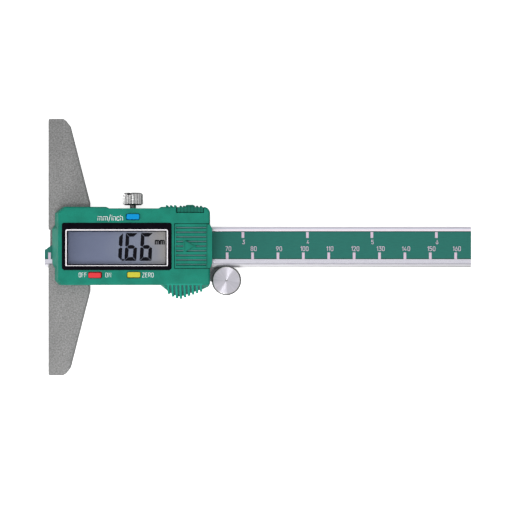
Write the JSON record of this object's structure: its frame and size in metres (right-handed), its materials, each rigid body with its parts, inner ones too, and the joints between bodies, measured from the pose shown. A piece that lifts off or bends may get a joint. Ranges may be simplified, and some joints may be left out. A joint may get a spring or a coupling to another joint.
{
  "type": "digital depth gauge",
  "caption": "Digital depth gauge: steel crosspiece with a measuring face, a sliding graduated rod, and a plastic display housing with buttons, thumb roller and lock screw.",
  "frame": {"origin": "on the measuring face of the crosspiece, on the rod's centre line, at the level of the gauge's back", "axes": "+X from the measuring face along the rod, +Y across to the lock screw's side, +Z from the back to the display"},
  "size_m": [0.168, 0.1008, 0.0155],
  "materials": {
    "satin_steel": "fine blasted satin",
    "bright_steel": "bright ground and turned",
    "dark_screws": "oiled",
    "bronze": "rolled strip",
    "black_metal": "satin black",
    "green_plastic": "fine moulded texture",
    "black_plastic": "gloss",
    "white_print": "printed",
    "scale_label": "printed film",
    "glass_epoxy": "board laminate",
    "clear_window": "clear",
    "display_panel": "smooth",
    "black_rubber": "matte",
    "blue_plastic": "smooth",
    "red_plastic": "smooth",
    "yellow_plastic": "smooth",
    "cell_steel": "nickel plated",
    "contact_metal": "gold plated"
  },
  "bodies": {
    "frame": {"base_frame": "satin_steel", "back_plate": "bright_steel", "back_plate_screws": "dark_screws", "cover_screws": "dark_screws", "gib_strip": "bronze", "gib_screws": "dark_screws", "roller_bracket": "black_metal", "bracket_screws": "dark_screws", "roller_axle": "bright_steel", "housing": "green_plastic", "bezel": "black_plastic", "bezel_line": "white_print", "display_window": "clear_window", "lcd_panel": "display_panel", "zebra_strips": "black_rubber", "circuit_board": "glass_epoxy", "reader_plate": "glass_epoxy", "processor_chip": "black_plastic", "crystal_can": "cell_steel", "key_switches": "cell_steel", "battery": "cell_steel", "negative_contact": "contact_metal", "positive_contact": "contact_metal", "port_socket": "black_plastic"},
    "rod": {"beam": "bright_steel", "scale_strip": "glass_epoxy", "scale_label": "scale_label", "scale_marks": "white_print", "stop_screw": "dark_screws"},
    "lock_screw": {"lock_screw": "bright_steel"},
    "roller": {"thumb_roller": "bright_steel"},
    "unit_button": {"unit_button": "blue_plastic"},
    "power_button": {"power_button": "red_plastic"},
    "zero_button": {"zero_button": "yellow_plastic"},
    "battery_cover": {"battery_cover": "green_plastic"},
    "port_cover": {"port_cover": "green_plastic"}
  },
  "joints": [
    {"name": "rod_slide", "type": "slide", "parent": "frame", "child": "rod", "axis": [-1, 0, 0], "range_m": [-0.00166, 0.094]},
    {"name": "roller_spin", "type": "hinge", "parent": "frame", "child": "roller", "pos_m": [0.07, -0.0131, 0.004], "axis": [0, 0, 1], "range_deg": [-20, 1060]},
    {"name": "lock_screw_turn", "type": "hinge", "parent": "frame", "child": "lock_screw", "pos_m": [0.033, 0.018, 0.00405], "axis": [0, -1, 0], "range_deg": [-720, 40]},
    {"name": "unit_button_press", "type": "slide", "parent": "frame", "child": "unit_button", "axis": [0, 0, -1], "range_m": [0, 0.0005], "stiffness_N_per_m": 400},
    {"name": "power_button_press", "type": "slide", "parent": "frame", "child": "power_button", "axis": [0, 0, -1], "range_m": [0, 0.0005], "stiffness_N_per_m": 400},
    {"name": "zero_button_press", "type": "slide", "parent": "frame", "child": "zero_button", "axis": [0, 0, -1], "range_m": [0, 0.0005], "stiffness_N_per_m": 400},
    {"name": "battery_cover_slide", "type": "slide", "parent": "frame", "child": "battery_cover", "axis": [1, 0, 0], "range_m": [0, 0.018]},
    {"name": "port_cover_pull", "type": "slide", "parent": "frame", "child": "port_cover", "axis": [0, 1, 0], "range_m": [0, 0.006]}
  ],
  "couplings": [
    {"joint": "roller_spin", "follows": "rod_slide", "rad_per_m": 196.08}
  ]
}
